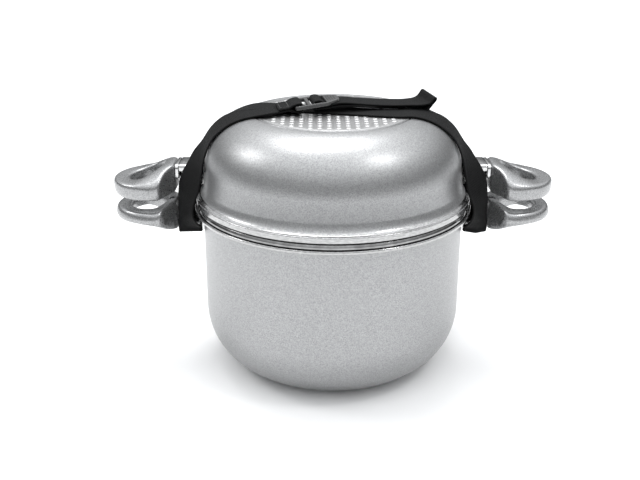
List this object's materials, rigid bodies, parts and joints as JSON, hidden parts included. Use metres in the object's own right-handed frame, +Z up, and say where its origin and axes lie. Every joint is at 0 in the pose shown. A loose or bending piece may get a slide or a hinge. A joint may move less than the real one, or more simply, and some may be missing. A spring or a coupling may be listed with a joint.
{
  "type": "nesting cook pot set",
  "caption": "Camping cook set: a deep pot, glass lid and inverted shallow pot with loop handles, held together by a webbing strap and buckle.",
  "frame": {"origin": "centre of the deep pot's base, on the surface the set stands on", "axes": "+Z up along the pots' axis, X through the handles, -Y towards the front"},
  "size_m": [0.3798, 0.24, 0.2374],
  "materials": {
    "silver_lacquer": "matte metallic silver",
    "bare_steel": "polished stainless steel",
    "base_steel": "dimpled induction plate",
    "handle_paint": "metallic silver paint",
    "clear_glass": "clear tempered",
    "knob_plastic": "black phenolic",
    "seal_rubber": "black silicone",
    "black_webbing": "black woven webbing",
    "buckle_plastic": "black moulded"
  },
  "bodies": {
    "deep_pot": {"deep_pot_shell": "silver_lacquer", "deep_pot_induction_disc": "base_steel", "deep_pot_left_bracket": "bare_steel", "deep_pot_left_flame_guard": "bare_steel", "deep_pot_left_collar": "bare_steel", "deep_pot_left_handle": "handle_paint", "deep_pot_left_handle_screw": "bare_steel", "deep_pot_left_front_rivet": "bare_steel", "deep_pot_left_rear_rivet": "bare_steel", "deep_pot_right_bracket": "bare_steel", "deep_pot_right_flame_guard": "bare_steel", "deep_pot_right_collar": "bare_steel", "deep_pot_right_handle": "handle_paint", "deep_pot_right_handle_screw": "bare_steel", "deep_pot_right_front_rivet": "bare_steel", "deep_pot_right_rear_rivet": "bare_steel"},
    "lid": {"lid_glass": "clear_glass", "lid_steel_rim": "bare_steel", "lid_knob_washer": "seal_rubber", "lid_knob": "knob_plastic", "lid_knob_screw": "bare_steel", "lid_vent_eyelet": "bare_steel"},
    "shallow_pot": {"shallow_pot_shell": "silver_lacquer", "shallow_pot_induction_disc": "base_steel", "shallow_pot_left_bracket": "bare_steel", "shallow_pot_left_flame_guard": "bare_steel", "shallow_pot_left_collar": "bare_steel", "shallow_pot_left_handle": "handle_paint", "shallow_pot_left_handle_screw": "bare_steel", "shallow_pot_left_front_rivet": "bare_steel", "shallow_pot_left_rear_rivet": "bare_steel", "shallow_pot_right_bracket": "bare_steel", "shallow_pot_right_flame_guard": "bare_steel", "shallow_pot_right_collar": "bare_steel", "shallow_pot_right_handle": "handle_paint", "shallow_pot_right_handle_screw": "bare_steel", "shallow_pot_right_front_rivet": "bare_steel", "shallow_pot_right_rear_rivet": "bare_steel", "strap_webbing": "black_webbing"},
    "buckle": {"strap_buckle": "buckle_plastic"}
  },
  "joints": [
    {"name": "shallow_pot_lift", "type": "slide", "parent": "deep_pot", "child": "shallow_pot", "axis": [0, 0, 1], "range_m": [0, 0.1], "deforming": ["strap_webbing"]},
    {"name": "lid_lift", "type": "slide", "parent": "deep_pot", "child": "lid", "axis": [0, 0, 1], "range_m": [0, 0.04]},
    {"name": "buckle_tilt", "type": "hinge", "parent": "shallow_pot", "child": "buckle", "pos_m": [-0.03098, -0.00416, 0.23055], "axis": [0.165, -0.9863, 0], "range_deg": [0, 30]}
  ],
  "couplings": [
    {"joint": "lid_lift", "follows": "shallow_pot_lift", "ratio": 0.4}
  ]
}
